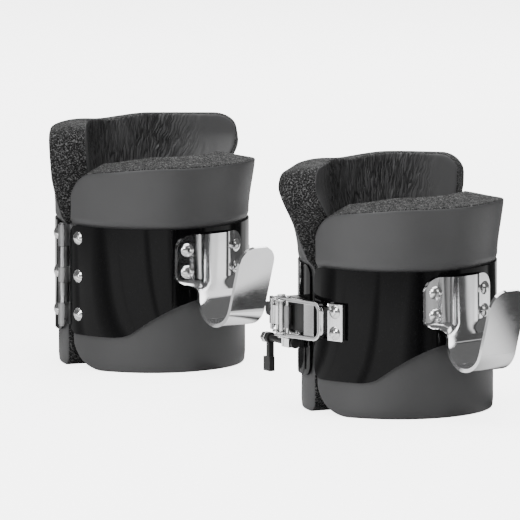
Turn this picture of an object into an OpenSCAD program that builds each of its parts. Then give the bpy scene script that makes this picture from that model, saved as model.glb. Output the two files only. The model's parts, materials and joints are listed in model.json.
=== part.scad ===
// A pair of inversion boots: padded ankle shells with a bar hook, a shell hinge and a ratchet buckle.
// Each boot is built upright about its own axis, with its hook towards -Y, its hinge on +X and its
// buckle on -X. The right boot stands that way and the left boot is its mirror image.

/* [Shells] */
// Outer radius of the two shells
shell_r = 80; // [78:0.5:100]
// Thickness of the shell sheet
shell_t = 2; // [1.5:0.25:3]
// Height of the shells
shell_h = 90; // [88:0.5:112]
// Height of the shells' lower edge above the floor
shell_z = 29; // [20:1:40]
// Half of the angle that the front shell wraps
front_wrap = 95.5; // [94:0.5:96.5]
// Angle from the hook to the rear shell's edge on the hinge side
rear_hinge_edge = 104.5; // [103.5:0.5:106]
// Angle from the hook to the rear shell's edge on the buckle side
rear_buckle_edge = 100.5; // [100:0.5:102]
// Corner radius of the shells
shell_corner_r = 9; // [4:1:14]
// Rise of the arch over the instep
arch_rise = 32.3; // [20:0.5:40]
// Radius of the arch
arch_r = 81.4; // [70:0.2:100]
// Fillet between the arch and the lower edge
arch_fillet = 15; // [8:1:20]

/* [Pads] */
// Height of the front pad
front_pad_h = 176; // [150:1:200]
// Height of the rear pad
rear_pad_h = 198; // [160:1:220]
// Foam thickness inside the shells
pad_t = 28; // [20:1:32]
// Clearance between the pads and the rivet tails
pad_clear = 0.1; // [0.05:0.05:1]
// Flare of the front pad's top beyond the shell
front_flare = 4; // [0:0.5:8]
// Flare of the rear pad's top beyond the shell
rear_flare = 6; // [0:0.5:10]
// Drop from the inner to the outer edge of the top faces
top_drop = 4; // [0:0.5:8]
// Half of the angle that the front pad wraps
front_pad_wrap = 96; // [94:0.5:97]
// Angle from the hook to the rear pad's end on the hinge side
rear_pad_hinge_end = 101; // [100:0.5:104]
// Angle from the hook to the rear pad's end on the buckle side
rear_pad_buckle_end = 98; // [97.5:0.5:102]
// Corner radius of the front pad
front_pad_corner_r = 28; // [5:1:40]
// Corner radius of the rear pad
rear_pad_corner_r = 16; // [5:1:30]

/* [Hook] */
// Radius of the bar that the hook takes
bar_r = 19; // [16:0.5:21]
// Thickness of the hook sheet
hook_t = 3; // [2.5:0.25:4]
// Width of the hook strip
hook_w = 36; // [30:1:38]
// Width of the upper flange
flange_w = 67; // [66:1:74]
// Height of the upper flange
flange_h = 41; // [38:1:44]
// Distance from the shells' top edge down to the hook plate's top
flange_drop = 4.4; // [2:0.2:8]
// How far the middle of the plate stands off the shell
hook_raise = 3; // [2:0.5:4]
// Drop from the hook plate's top to the lowest point of the hook
hook_drop = 74; // [68:1:80]
// Angle that the tip leans out
tip_lean = 17; // [10:1:20]
// Drop from the hook plate's top to the tip's top
tip_drop = 6; // [2:1:15]

/* [Fasteners] */
// Radius of the rivet shanks
rivet_r = 2.5; // [2:0.25:3]
// Radius of the rivet heads
rivet_head_r = 5.5; // [4.5:0.25:6]
// Height of the rivet heads
rivet_head_h = 2.6; // [1.5:0.1:3]
// Radial play of rivets and pins in their holes
play = 0.06; // [0.03:0.01:0.09]

/* [Hinge] */
// Outer radius of the hinge barrel
barrel_r = 3.5; // [3:0.25:4]
// Radius of the hinge pin
pin_r = 1.6; // [1.2:0.1:2]
// Thickness of the hinge leaves
leaf_t = 1.5; // [1:0.1:2]
// Spacing of the rivets up the hinge
hinge_rivet_pitch = 31.5; // [28:0.5:33]

/* [Strap and buckle] */
// Height of the strap's middle above the floor
strap_z = 77; // [72:1:84]
// Width of the ladder strap
strap_w = 22; // [18:1:28]
// Thickness of the ladder strap under its teeth
strap_t = 2.5; // [2:0.1:3]
// Height of the strap's teeth
tooth_h = 1.2; // [0.8:0.1:1.4]
// Pitch of the strap's teeth
tooth_pitch = 3.6; // [3:0.2:5]
// Length of the strap from its anchor to the tip of its tongue
strap_len = 105; // [96:1:115]
// Width of the tongue at the strap's free end
tongue_w = 11; // [8:1:14]
// Clearance between the strap and the buckle's ears
ear_gap = 1.5; // [0.3:0.1:2.5]
// Thickness of the buckle sheet
buckle_t = 1.5; // [1.2:0.1:2]
// Length of the ratchet lever from its pivot to its front end
lever_len = 47; // [42:1:48]
// Length of the safety lever below its rod
safety_len = 27; // [20:1:32]

/* [Pair] */
// Offset of the right boot from the left across the hooks' direction
pair_dx = 0; // [-60:1:60]
// Offset of the right boot from the left, forwards
pair_dy = 318; // [260:1:400]

/* [Hidden] */
$fn = 96;
PIECES = ["front_shell", "front_pad", "hook", "hook_rivets", "front_hinge_leaf", "front_hinge_rivets",
    "hinge_pin", "ladder_strap", "strap_anchor_plate", "strap_rivets", "rear_shell", "rear_pad",
    "rear_hinge_leaf", "rear_hinge_rivets", "buckle_saddle", "buckle_base", "buckle_rivets", "lever_pin",
    "release_pin", "safety_rod", "safety_nut", "lever_spring", "release_spring", "ratchet_lever",
    "drive_pawl_pin", "drive_pawl", "release_pawl", "safety_lever"];

fine = 0.05;      // gap between pieces that are fastened face to face
far = 400;        // length of cutters that pass right through
tail_r = rivet_r + 1.2;
tail_h = 1;
tail_gap = 0.12;  // lets a rivet's flat tail clear the curve of the sheet

// Directions about the boot's axis, in degrees from +X towards +Y
hook_dir = -90;
front_hinge_edge_dir = hook_dir + front_wrap;
front_buckle_edge_dir = hook_dir - front_wrap;
rear_hinge_edge_dir = hook_dir + rear_hinge_edge;
rear_buckle_edge_dir = hook_dir - rear_buckle_edge + 360;
hinge_dir = (front_hinge_edge_dir + rear_hinge_edge_dir) / 2;
front_rivet_dir = front_hinge_edge_dir - 7.5;
rear_rivet_dir = rear_hinge_edge_dir + 11.5;

shell_top = shell_z + shell_h;
shell_in = shell_r - shell_t;
arch_z = shell_z + arch_rise - arch_r;
fillet_z = shell_z + arch_fillet;
fillet_x = sqrt(pow(arch_r + arch_fillet, 2) - pow(fillet_z - arch_z, 2));

pad_r = shell_in - leaf_t - tail_gap - tail_h - 2 * fine - pad_clear;
pad_in = pad_r - pad_t;
pad_foot_r = shell_r - 3;
pad_edge = 3;         // bevel along the pads' outer edges

hinge_x = (shell_r + barrel_r - 0.1) * cos(hinge_dir);
hinge_y = (shell_r + barrel_r - 0.1) * sin(hinge_dir);
knuckle_gap = 0.3;
knuckle_shares = [0.22, 0.205, 0.15, 0.205, 0.22];
hinge_h = shell_h - 6.8;
hinge_z = shell_top - hinge_h - 0.4;
pin_head_h = 1.2;
leaf_wall_angle = 1.4;                    // width of a leaf's upright wall, in degrees
leaf_wall_shift = 0.6;                    // from the hinge's direction to the wall, in degrees
leaf_reach = 8;                           // how far a leaf goes past its rivets, in degrees

flange_top = shell_top - flange_drop;
flange_z = flange_top - flange_h;
hook_back = shell_r + fine + hook_raise;          // back face of the strip
seat_out = hook_t + bar_r;                        // outer radius of the hook's bend
seat_y = -(hook_back + seat_out);
seat_z = flange_top - hook_drop + seat_out;
tip_len = (flange_top - tip_drop - seat_z + seat_out * sin(tip_lean)) / cos(tip_lean);
tip_top_y = seat_y - seat_out * cos(tip_lean) - tip_len * sin(tip_lean);
hook_rivet_x = flange_w / 2 - 8;
hook_rivet_z = [flange_z + 10.5, flange_z + 28.5];
flange_corner_r = 12;
flange_low_corner_r = 6.5;
flange_fillet_r = 10;
tip_corner_r = 14;
leg_h = 5;                                        // straight stretch above the bend
leg_z = seat_z + leg_h;
shaped_z = hook_rivet_z[0] - rivet_head_r - 0.2;  // the plate has its full shape just below the rivets
joint_lap = 1;                                    // how far the flat stretches run into the bend
flat_half = 10;                                   // half width of the plate's flat middle
slope_w = 10;                                     // width of the slope beside it

// The strap runs on an arc about the hinge, so that the boot opens along it
reach_from_hinge = shell_r + norm([hinge_x, hinge_y]);
strap_in = reach_from_hinge + 0.7;
strap_out = strap_in + strap_t;
strap_mid = strap_in + strap_t / 2;
anchor_back = 28.3;                               // from the front shell's edge back to the anchor
strap_start = from_hinge(front_buckle_edge_dir) + turn_for(anchor_back);
rear_edge_l = (strap_start - from_hinge(rear_buckle_edge_dir)) / turn_for(1);
floor_out = strap_in - 0.4;
floor_in = floor_out - buckle_t;
anchor_half_w = strap_w / 2 + 3;
anchor_half_l = 7.5;
anchor_rivet_dz = anchor_half_w - 5.5;
plate_t = 1.5;
tongue_l = 13;
base_from = rear_edge_l + 2.7;                    // lengths along the strap, from its anchor
base_to = base_from + 30;
ladder_from = base_from - 2;
buckle_rivet_l = [base_from + 5, base_to - 5];
buckle_rivet_dz = strap_w / 2 - 4.5;
lever_l = base_from + 17;
lever_h = 9;                                      // pivot above the strap's middle line
release_l = lever_l + 9;
release_h = 7;
lever_pin_r = 2;
small_pin_r = 1.5;
release_spring_z = (strap_w + 2 * ear_gap) / 2 - 3.9;
lever_tilt = -12;
buckle_w = strap_w + 2 * ear_gap;
buckle_half = buckle_w / 2 + buckle_t;
lever_wall = 1.7;
lever_w = 2 * (buckle_half + 0.3 + lever_wall);
lever_low = -2.6;
lever_high = 3.2;
lever_corner_r = 8;
pawl_ahead = 7;
ear_r = 4.6;
rod_r = 2.8;
rod_z = strap_z - lever_w / 2 - 5.5;
rod_h = 2.5;
rod_front = 9;
rod_rear = 36.5;
lug_half = 4.4;
safety_at = 27.5;                                 // along the rod, behind the lever's pivot
nut_af = 8;

row_x = -pair_dx / 2;
row_y = -(shell_r + rear_flare - pair_dy + tip_top_y) / 2;

// Directions from the hinge: of a place on the shells, and at a length along the strap
function from_hinge(dir) =
    (atan2(shell_r * sin(dir) - hinge_y, shell_r * cos(dir) - hinge_x) + 360) % 360;
function turn_for(l) = l / strap_mid * 180 / PI;
function arc_dir(l) = strap_start - turn_for(l);

// ---------- shared shapes ----------

// A band between two radii, standing on z, that turns from one direction to another
module band(r_in, r_out, z, h, from, to) {
    translate([0, 0, z])
        rotate_extrude(angle = to - from, start = from)
            translate([r_in, 0])
                square([r_out - r_in, h]);
}

// Stands its child on the boot's surface at a direction, with the child's z axis outwards
module outward(dir, r, z) {
    rotate([0, 0, dir])
        translate([r, 0, z])
            rotate([0, 90, 0])
                children();
}

// Puts its child on the strap's arc: x outwards, y towards the anchor, z up from the strap's middle
module on_arc(l, h = 0) {
    translate([hinge_x, hinge_y, strap_z])
        rotate([0, 0, arc_dir(l)])
            translate([strap_mid + h, 0, 0])
                children();
}

// A flat shape in the arc's plane, given a height about the strap's middle
module slab(z_from, z_to) {
    translate([0, 0, z_from])
        linear_extrude(z_to - z_from)
            children();
}

// A domed rivet along z: the head stands on z = 0, the tail closes on z = -grip
module rivet(grip) {
    dome_r = (pow(rivet_head_r, 2) + pow(rivet_head_h, 2)) / (2 * rivet_head_h);
    intersection() {
        translate([0, 0, rivet_head_h - dome_r]) sphere(dome_r);
        cylinder(h = rivet_head_h, r = rivet_head_r + 1);
    }
    translate([0, 0, -grip - tail_h / 2]) cylinder(h = grip + tail_h, r = rivet_r);
    translate([0, 0, -grip - tail_gap - tail_h]) cylinder(h = tail_h, r = tail_r);
}

module rivet_hole() {
    translate([0, 0, -15]) cylinder(h = 30, r = rivet_r + play);
}

// Takes the two corners off a wall that ends at y: the wall goes on towards +Y or -Y, on one side of x = 0
module end_rounding(y, towards, side, z_low, z_high, r_low, r_high) {
    translate([side > 0 ? 0 : -far, 0, 0])
        rotate([90, 0, 90])
            linear_extrude(far) {
                difference() {
                    translate([y - r_high, z_high - r_high]) square([2 * r_high, 2 * r_high]);
                    translate([y + towards * r_high, z_high - r_high]) circle(r_high);
                    translate([towards > 0 ? y + r_high : y - 2 * r_high, z_high - r_high - 1])
                        square([r_high, 2 * r_high + 2]);
                }
                difference() {
                    translate([y - r_low, z_low - r_low]) square([2 * r_low, 2 * r_low]);
                    translate([y + towards * r_low, z_low + r_low]) circle(r_low);
                    translate([towards > 0 ? y + r_low : y - 2 * r_low, z_low - r_low - 1])
                        square([r_low, 2 * r_low + 2]);
                }
            }
}

// ---------- front half ----------

// What the arched lower edge takes away, seen from the front
module arch_outline() {
    translate([0, arch_z]) circle(arch_r);
    for (side = [-1, 1])
        difference() {
            polygon([[0, arch_z], [side * fillet_x, arch_z], [side * fillet_x, fillet_z]]);
            translate([side * fillet_x, fillet_z]) circle(arch_fillet);
        }
}

module hinge_rivet_spots(dir) {
    for (step = [-1, 0, 1])
        outward(dir, shell_r, strap_z + step * hinge_rivet_pitch)
            children();
}

module hook_rivet_spots() {
    for (x = [-hook_rivet_x, hook_rivet_x])
        for (z = hook_rivet_z)
            translate([0, 0, z])
                rotate([90, 0, 0])
                    translate([x, 0, sqrt(pow(shell_r + fine + hook_t, 2) - x * x)])
                        rotate([0, asin(x / shell_r), 0])
                            children();
}

module strap_rivet_spots() {
    for (step = [-1, 1])
        on_arc(0)
            translate([0, 0, step * anchor_rivet_dz])
                rotate([0, 90, 0])
                    children();
}

module front_shell() {
    color("#101012")
        difference() {
            band(shell_in, shell_r, shell_z, shell_h, front_buckle_edge_dir, front_hinge_edge_dir);
            translate([0, 20, 0]) rotate([90, 0, 0]) linear_extrude(far) arch_outline();
            for (side = [-1, 1])
                end_rounding(shell_r * sin(front_hinge_edge_dir), -1, side, shell_z, shell_top,
                    shell_corner_r, shell_corner_r);
            hinge_rivet_spots(front_rivet_dir) rivet_hole();
            hook_rivet_spots() rivet_hole();
            strap_rivet_spots() rivet_hole();
        }
}

// Half section of a pad: x is the distance from the boot's axis
module pad_section(h, flare) {
    top_r = shell_r + flare;
    polygon([
        [pad_in + pad_edge, 0], [pad_foot_r - pad_edge, 0], [pad_foot_r, pad_edge],
        [pad_foot_r - 0.5, shell_z - 4], [pad_r, shell_z - 1], [pad_r, shell_top + 1],
        [shell_r, shell_top + 6], [top_r, h - top_drop - pad_edge], [top_r - pad_edge, h - top_drop],
        [top_r - pad_t, h], [pad_in, shell_top], [pad_in, pad_edge]]);
}

module front_pad() {
    color("#3c3c3e")
        difference() {
            rotate_extrude(angle = 2 * front_pad_wrap, start = hook_dir - front_pad_wrap)
                pad_section(front_pad_h, front_flare);
            for (side = [-1, 1])
                end_rounding(pad_foot_r * sin(front_pad_wrap - 90), -1, side, 0, front_pad_h,
                    front_pad_corner_r, front_pad_corner_r);
        }
}

// How far the plate's back face lies in front of the boot's axis, at a width x and a height z.
// Low down the plate is flat, and above the bend it follows the shell beside its raised middle.
function raised(x) = hook_raise * (0.5 + 0.5 * cos(180 * min(1, max(0, (abs(x) - flat_half) / slope_w))));
function shaped(x) = sqrt(pow(shell_r + fine, 2) - x * x) + raised(x);
function blend_at(z) =
    let (t = min(1, max(0, (z - leg_z) / (shaped_z - leg_z))))
        t * t * (3 - 2 * t);
function back_y(x, z) = -(hook_back + 2 * fine + blend_at(z) * (shaped(x) - hook_back));

module hook_plate_sheet() {
    half = flange_w / 2 + 2.5;
    columns = 24;
    steps = 5;
    low_rows = [for (i = [0:steps]) leg_z + (shaped_z - leg_z) * i / steps];
    rows = concat([leg_z - 1], low_rows, [flange_top]);
    row_count = len(rows);
    layer = (columns + 1) * row_count;
    function at(i, j, side) = side * layer + j * (columns + 1) + i;
    points = [for (side = [0, 1]) for (z = rows) for (i = [0:columns])
        let (x = -half + 2 * half * i / columns) [x, back_y(x, z) - side * (hook_t - 4 * fine), z]];
    top = row_count - 1;
    sheets = [for (j = [0:top - 1]) for (i = [0:columns - 1]) each [
        [at(i, j, 0), at(i + 1, j + 1, 0), at(i, j + 1, 0)],
        [at(i, j, 0), at(i + 1, j, 0), at(i + 1, j + 1, 0)],
        [at(i, j, 1), at(i, j + 1, 1), at(i + 1, j + 1, 1)],
        [at(i, j, 1), at(i + 1, j + 1, 1), at(i + 1, j, 1)]]];
    ends = [for (i = [0:columns - 1]) each [
        [at(i, 0, 0), at(i, 0, 1), at(i + 1, 0, 1), at(i + 1, 0, 0)],
        [at(i, top, 0), at(i + 1, top, 0), at(i + 1, top, 1), at(i, top, 1)]]];
    edges = [for (j = [0:top - 1]) each [
        [at(0, j, 0), at(0, j + 1, 0), at(0, j + 1, 1), at(0, j, 1)],
        [at(columns, j, 0), at(columns, j, 1), at(columns, j + 1, 1), at(columns, j + 1, 0)]]];
    polyhedron(points, concat(sheets, ends, edges));
}

// The flange and strip as seen from the front
module hook_outline() {
    half = flange_w / 2;
    difference() {
        union() {
            translate([-half, flange_z]) square([flange_w, flange_h]);
            translate([2 * fine - hook_w / 2, seat_z]) square([hook_w - 4 * fine, flange_top - seat_z]);
            for (side = [-1, 1])
                difference() {
                    translate([side * (hook_w + flange_fillet_r) / 2, flange_z - flange_fillet_r / 2])
                        square(flange_fillet_r, center = true);
                    translate([side * (hook_w / 2 + flange_fillet_r), flange_z - flange_fillet_r])
                        circle(flange_fillet_r);
                }
        }
        for (side = [-1, 1]) {
            corner_cut(side * half, flange_top, -side, -1, flange_corner_r);
            corner_cut(side * half, flange_z, -side, 1, min(flange_low_corner_r,
                half - hook_w / 2 - flange_fillet_r));
        }
    }
}

// The sliver outside a rounded corner at [x, y], whose shape goes on towards the signs dx and dy
module corner_cut(x, y, dx, dy, r) {
    difference() {
        translate([x - r, y - r]) square(2 * r);
        translate([x + dx * r, y + dy * r]) circle(r);
        translate([dx > 0 ? x + r : x - 2 * r, y - 2 * r]) square([r, 4 * r]);
        translate([x - 2 * r, dy > 0 ? y + r : y - 2 * r]) square([4 * r, r]);
    }
}

module hook() {
    color("silver")
        difference() {
            union() {
                intersection() {
                    hook_plate_sheet();
                    rotate([90, 0, 0]) linear_extrude(far) hook_outline();
                }
                // the short straight leg and the bend under it
                translate([fine - hook_w / 2, fine - hook_back - hook_t, seat_z - joint_lap])
                    cube([hook_w - 2 * fine, hook_t - 2 * fine, leg_h + joint_lap]);
                translate([-hook_w / 2, seat_y, seat_z])
                    rotate([90, 0, 90])
                        hook_bend();
                // the tip
                translate([0, seat_y, seat_z])
                    rotate([tip_lean, 0, 0])
                        translate([0, -bar_r - fine, 0])
                            rotate([90, 0, 0])
                                linear_extrude(hook_t - 2 * fine)
                                    difference() {
                                        translate([fine - hook_w / 2, -joint_lap])
                                            square([hook_w - 2 * fine, tip_len + joint_lap]);
                                        for (side = [-1, 1])
                                            corner_cut(side * (hook_w / 2 - fine), tip_len, -side, -1,
                                                tip_corner_r);
                                    }
            }
            hook_rivet_spots() rivet_hole();
        }
}

// The half round under the bar, from the back leg round to the leaning tip
module hook_bend() {
    rotate_extrude(angle = 180 - tip_lean, start = 180 + tip_lean)
        translate([bar_r, 0])
            square([hook_t, hook_w]);
}

module hook_rivets() {
    color("gainsboro")
        hook_rivet_spots() rivet(shell_t + hook_t + fine);
}

// Barrel pieces of the hinge: every second knuckle, from the first or the second one
module knuckles(first, grow) {
    heights = knuckle_shares * hinge_h;
    starts = [for (i = 0, z = hinge_z; i < 5; z = z + heights[i], i = i + 1) z];
    for (i = [first:2:4])
        translate([0, 0, starts[i] + knuckle_gap / 2 - grow])
            linear_extrude(heights[i] - knuckle_gap + 2 * grow)
                children();
}

module hinge_leaf(first, dir, toward) {
    wall_dir = hinge_dir - toward * leaf_wall_shift;
    wall_from = toward > 0 ? wall_dir - leaf_wall_angle : wall_dir;
    leaf_out = shell_in - fine;
    inner_end = dir - toward * leaf_reach;
    wall_end = toward > 0 ? wall_from + leaf_wall_angle : wall_from;
    difference() {
        union() {
            band(leaf_out - leaf_t, leaf_out, hinge_z, hinge_h,
                min(inner_end, wall_end), max(inner_end, wall_end));
            knuckles(first, 0) difference() {
                union() {
                    translate([hinge_x, hinge_y]) circle(barrel_r);
                    rotate([0, 0, wall_from])
                        intersection() {
                            circle(shell_r + barrel_r);
                            polygon([[leaf_out - leaf_t, 0], [shell_r + barrel_r, 0],
                                [shell_r + barrel_r, (shell_r + barrel_r) * tan(leaf_wall_angle)],
                                [leaf_out - leaf_t, (leaf_out - leaf_t) * tan(leaf_wall_angle)]]);
                        }
                }
                translate([hinge_x, hinge_y]) circle(pin_r + play);
            }
        }
        hinge_rivet_spots(dir) rivet_hole();
        // room for the other leaf's knuckles
        knuckles(1 - first, knuckle_gap) translate([hinge_x, hinge_y]) circle(barrel_r + 1);
        translate([hinge_x, hinge_y, 0]) cylinder(h = far, r = pin_r + play);
    }
}

module front_hinge_leaf() {
    color("darkgray") hinge_leaf(0, front_rivet_dir, 1);
}

module front_hinge_rivets() {
    color("gainsboro") hinge_rivet_spots(front_rivet_dir) rivet(shell_t + leaf_t + fine);
}

module hinge_pin() {
    color("dimgray")
        translate([hinge_x, hinge_y, hinge_z]) {
            cylinder(h = hinge_h, r = pin_r);
            for (z = [-pin_head_h, hinge_h])
                translate([0, 0, z]) cylinder(h = pin_head_h, r = pin_r + 1);
        }
}

// The strap's outline in plan, about the hinge: smooth inside, saw teeth outside
module strap_plan(from, to) {
    function at(l, r) = [r * cos(arc_dir(l)), r * sin(arc_dir(l))];
    tooth_count = floor((to - ladder_from) / tooth_pitch);
    inside = [for (l = [from:2:to - 0.5]) at(l, strap_in)];
    teeth = [for (i = [tooth_count - 1:-1:0]) let (l = ladder_from + i * tooth_pitch) each [
        at(l + tooth_pitch * 0.95, strap_out), at(l + tooth_pitch * 0.85, strap_out + tooth_h),
        at(l + tooth_pitch * 0.1, strap_out)]];
    smooth = [for (l = [ladder_from - 1:-2:from + 0.5]) at(l, strap_out)];
    translate([hinge_x, hinge_y])
        polygon(concat(inside, [at(to, strap_in), at(to, strap_out)], teeth, smooth, [at(from, strap_out)]));
}

module ladder_strap() {
    color("#1a1a1a")
        difference() {
            union() {
                translate([0, 0, strap_z - strap_w / 2])
                    linear_extrude(strap_w) strap_plan(anchor_half_l - 1, strap_len - tongue_l);
                translate([hinge_x, hinge_y, 0])
                    band(strap_in - fine, strap_out + fine, strap_z - anchor_half_w, 2 * anchor_half_w,
                        arc_dir(anchor_half_l), arc_dir(-anchor_half_l));
                intersection() {
                    translate([hinge_x, hinge_y, 0])
                        band(strap_in + 0.2, strap_out - 0.2, strap_z - tongue_w, 2 * tongue_w,
                            arc_dir(strap_len + 2), arc_dir(strap_len - tongue_l - 2));
                    on_arc(strap_len - tongue_l)
                        rotate([0, 90, 0])
                            translate([0, 0, -10])
                                linear_extrude(20) {
                                    translate([-tongue_w / 2, tongue_w / 2 - tongue_l])
                                        square([tongue_w, tongue_l - tongue_w / 2 + 1]);
                                    translate([0, tongue_w / 2 - tongue_l]) circle(tongue_w / 2);
                                }
                }
            }
            strap_rivet_spots() rivet_hole();
        }
}

module strap_anchor_plate() {
    color("silver")
        difference() {
            translate([hinge_x, hinge_y, 0])
                band(strap_out + 2 * fine, strap_out + 2 * fine + plate_t, strap_z - anchor_half_w - 1,
                    2 * anchor_half_w + 2, arc_dir(anchor_half_l), arc_dir(-anchor_half_l));
            strap_rivet_spots() rivet_hole();
        }
}

module strap_rivets() {
    head_at = strap_out + 2 * fine + plate_t - strap_mid;
    color("gainsboro")
        strap_rivet_spots()
            translate([0, 0, head_at + fine])
                rivet(head_at + strap_mid - reach_from_hinge + shell_t + 0.3);
}

// ---------- rear half ----------

module rear_shell() {
    color("#101012")
        difference() {
            band(shell_in, shell_r, shell_z, shell_h, rear_hinge_edge_dir, rear_buckle_edge_dir);
            end_rounding(shell_r * sin(rear_hinge_edge_dir), 1, 1, shell_z, shell_top,
                shell_corner_r, shell_corner_r);
            end_rounding(shell_r * sin(rear_buckle_edge_dir), 1, -1, shell_z, shell_top,
                shell_corner_r, shell_corner_r);
            hinge_rivet_spots(rear_rivet_dir) rivet_hole();
            buckle_rivet_spots() rivet_hole();
        }
}

module rear_pad() {
    from = hook_dir + rear_pad_hinge_end;
    to = hook_dir - rear_pad_buckle_end + 360;
    color("#3c3c3e")
        difference() {
            rotate_extrude(angle = to - from, start = from)
                pad_section(rear_pad_h, rear_flare);
            end_rounding(pad_foot_r * sin(from), 1, 1, 0, rear_pad_h, pad_edge, rear_pad_corner_r);
            end_rounding(pad_foot_r * sin(to), 1, -1, 0, rear_pad_h, pad_edge, rear_pad_corner_r);
        }
}

module rear_hinge_leaf() {
    color("darkgray") hinge_leaf(1, rear_rivet_dir, -1);
}

module rear_hinge_rivets() {
    color("gainsboro") hinge_rivet_spots(rear_rivet_dir) rivet(shell_t + leaf_t + fine);
}

module buckle_rivet_spots() {
    for (l = buckle_rivet_l)
        for (step = [-1, 1])
            on_arc(l, floor_out - strap_mid)
                translate([0, 0, step * buckle_rivet_dz])
                    rotate([0, 90, 0])
                        children();
}

// The stretch of the buckle's floor, with a lug under it that carries the safety rod
module floor_band(r_in, r_out) {
    translate([hinge_x, hinge_y, 0]) {
        band(r_in, r_out, strap_z - buckle_half + fine, 2 * (buckle_half - fine), arc_dir(base_to),
            arc_dir(base_from));
        band(r_in, r_out, rod_z - lug_half, strap_z - rod_z + lug_half - buckle_half + 1,
            arc_dir(lever_l + 3), arc_dir(lever_l - rod_front));
    }
}

// A packer that fills the wedge between the round shell and the buckle's floor
module buckle_saddle() {
    color("#1a1a1a")
        difference() {
            floor_band(reach_from_hinge - 16, floor_in - fine);
            translate([0, 0, -1]) cylinder(h = far, r = shell_r + fine);
            buckle_rivet_spots() rivet_hole();
        }
}

// Side view of an ear, which carries the lever's pin and the release pin
module ear_plan() {
    low = floor_in - strap_mid + buckle_t / 3;
    polygon([[low, 15], [low + 3, 15], [low + 5, 7.5], [lever_h - 3.4, 3.1], [lever_h, 0],
        [lever_h, -3], [release_h, -12], [release_h - 4, -12.5], [low + 3, -13], [low, -13]]);
    translate([lever_h, 0]) circle(ear_r);
    translate([release_h, lever_l - release_l]) circle(ear_r - 0.4);
}

module buckle_base() {
    color("silver")
        difference() {
            union() {
                floor_band(floor_in, floor_out);
                for (side = [-1, 1])
                    on_arc(lever_l)
                        slab(side > 0 ? buckle_w / 2 : -buckle_half, side > 0 ? buckle_half : -buckle_w / 2)
                            ear_plan();
                on_arc(lever_l)
                    translate([floor_in - strap_mid + 0.4, -3, rod_z - strap_z - lug_half + 0.8])
                        cube([rod_h + rod_r + 1.5 - floor_in + strap_mid, rod_front + 2, 2 * lug_half - 1.6]);
            }
            buckle_rivet_spots() rivet_hole();
            on_arc(lever_l, lever_h) cylinder(h = far, r = lever_pin_r + play, center = true);
            at_release() cylinder(h = far, r = small_pin_r + play, center = true);
            along_rod() translate([0, 0, -far / 2]) cylinder(h = far, r = rod_r + play);
        }
}

// Flush rivets, so that the strap slides over them. Their tails lie square to the shell.
module buckle_rivets() {
    color("gainsboro")
        for (l = buckle_rivet_l)
            for (step = [-1, 1]) {
                on_arc(l, floor_out - strap_mid - buckle_depth(l))
                    translate([0, 0, step * buckle_rivet_dz])
                        rotate([0, 90, 0])
                            translate([0, 0, -tail_h])
                                cylinder(h = buckle_depth(l) + tail_h - fine, r = rivet_r);
                outward(shell_dir(l), shell_in - tail_gap - tail_h, strap_z + step * buckle_rivet_dz)
                    cylinder(h = tail_h, r = tail_r);
            }
}

// From the hinge to the shell's inside, at a length along the strap
function hinge_to_shell(l) =
    let (turn = arc_dir(l) - 180 - hinge_dir, off = norm([hinge_x, hinge_y]))
        off * cos(turn) + sqrt(pow(shell_in, 2) - pow(off * sin(turn), 2));
function buckle_depth(l) = floor_out - hinge_to_shell(l);

// Direction about the boot's axis of the same place on the shell
function shell_dir(l) =
    atan2(hinge_y + hinge_to_shell(l) * sin(arc_dir(l)), hinge_x + hinge_to_shell(l) * cos(arc_dir(l)));

// The safety rod's line: z runs from the buckle's front to its rear
module along_rod() {
    on_arc(lever_l)
        translate([rod_h, 0, rod_z - strap_z])
            rotate([90, 0, 0])
                children();
}

module lever_pin() {
    head_h = 1.2;
    reach = lever_w / 2 + 0.15;
    color("gainsboro")
        on_arc(lever_l, lever_h) {
            cylinder(h = 2 * reach, r = lever_pin_r, center = true);
            for (side = [-1, 1])
                translate([0, 0, side * (reach + head_h / 2)])
                    cylinder(h = head_h, r = lever_pin_r + 1.2, center = true);
        }
}

module at_release() {
    on_arc(lever_l, release_h) translate([0, lever_l - release_l, 0]) children();
}

module release_pin() {
    color("gainsboro")
        at_release() cylinder(h = 2 * buckle_half + 0.2, r = small_pin_r, center = true);
}

module safety_rod() {
    color("#1a1a1a")
        along_rod() {
            translate([0, 0, -rod_front]) cylinder(h = rod_front + rod_rear, r = rod_r);
            translate([0, 0, -rod_front - 2]) cylinder(h = 2, r = rod_r + 1.4);
            translate([0, 0, rod_rear - 0.3])
                intersection() {
                    sphere(rod_r);
                    cylinder(h = rod_r, r = rod_r);
                }
        }
}

module safety_nut() {
    nut_h = 5;
    color("silver")
        along_rod()
            translate([0, 0, rod_rear - nut_h - 0.5])
                difference() {
                    cylinder(h = nut_h, r = nut_af / 2 / cos(30), $fn = 6);
                    translate([0, 0, -1]) cylinder(h = nut_h + 2, r = rod_r + play);
                }
}

// A torsion spring round a pin: touching turns and two short legs
module torsion_spring(mean_r, wire_r, turns, leg) {
    pitch = 2 * wire_r + 0.03;
    for (i = [0:turns - 1])
        translate([0, 0, i * pitch])
            rotate_extrude() translate([mean_r, 0]) circle(wire_r);
    for (end = [0, turns - 1])
        translate([0, 0, end * pitch])
            rotate([0, 90, end == 0 ? -100 : 160])
                translate([0, 0, mean_r]) cylinder(h = leg, r = wire_r * 0.8);
}

module lever_spring() {
    color("silver")
        on_arc(lever_l, lever_h) translate([0, 0, buckle_w / 2 - 2.85]) torsion_spring(2.75, 0.5, 3, 3);
}

module release_spring() {
    color("silver")
        at_release() translate([0, 0, release_spring_z]) torsion_spring(2.2, 0.45, 4, 2.8);
}

// ---------- lever, pawls and safety lever ----------

// The lever's frame: x forwards along its arms, y along the boot's axis, z outwards
module at_lever() {
    on_arc(lever_l, lever_h)
        rotate([0, 0, -lever_tilt])
            rotate([90, 0, 90])
                children();
}

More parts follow.
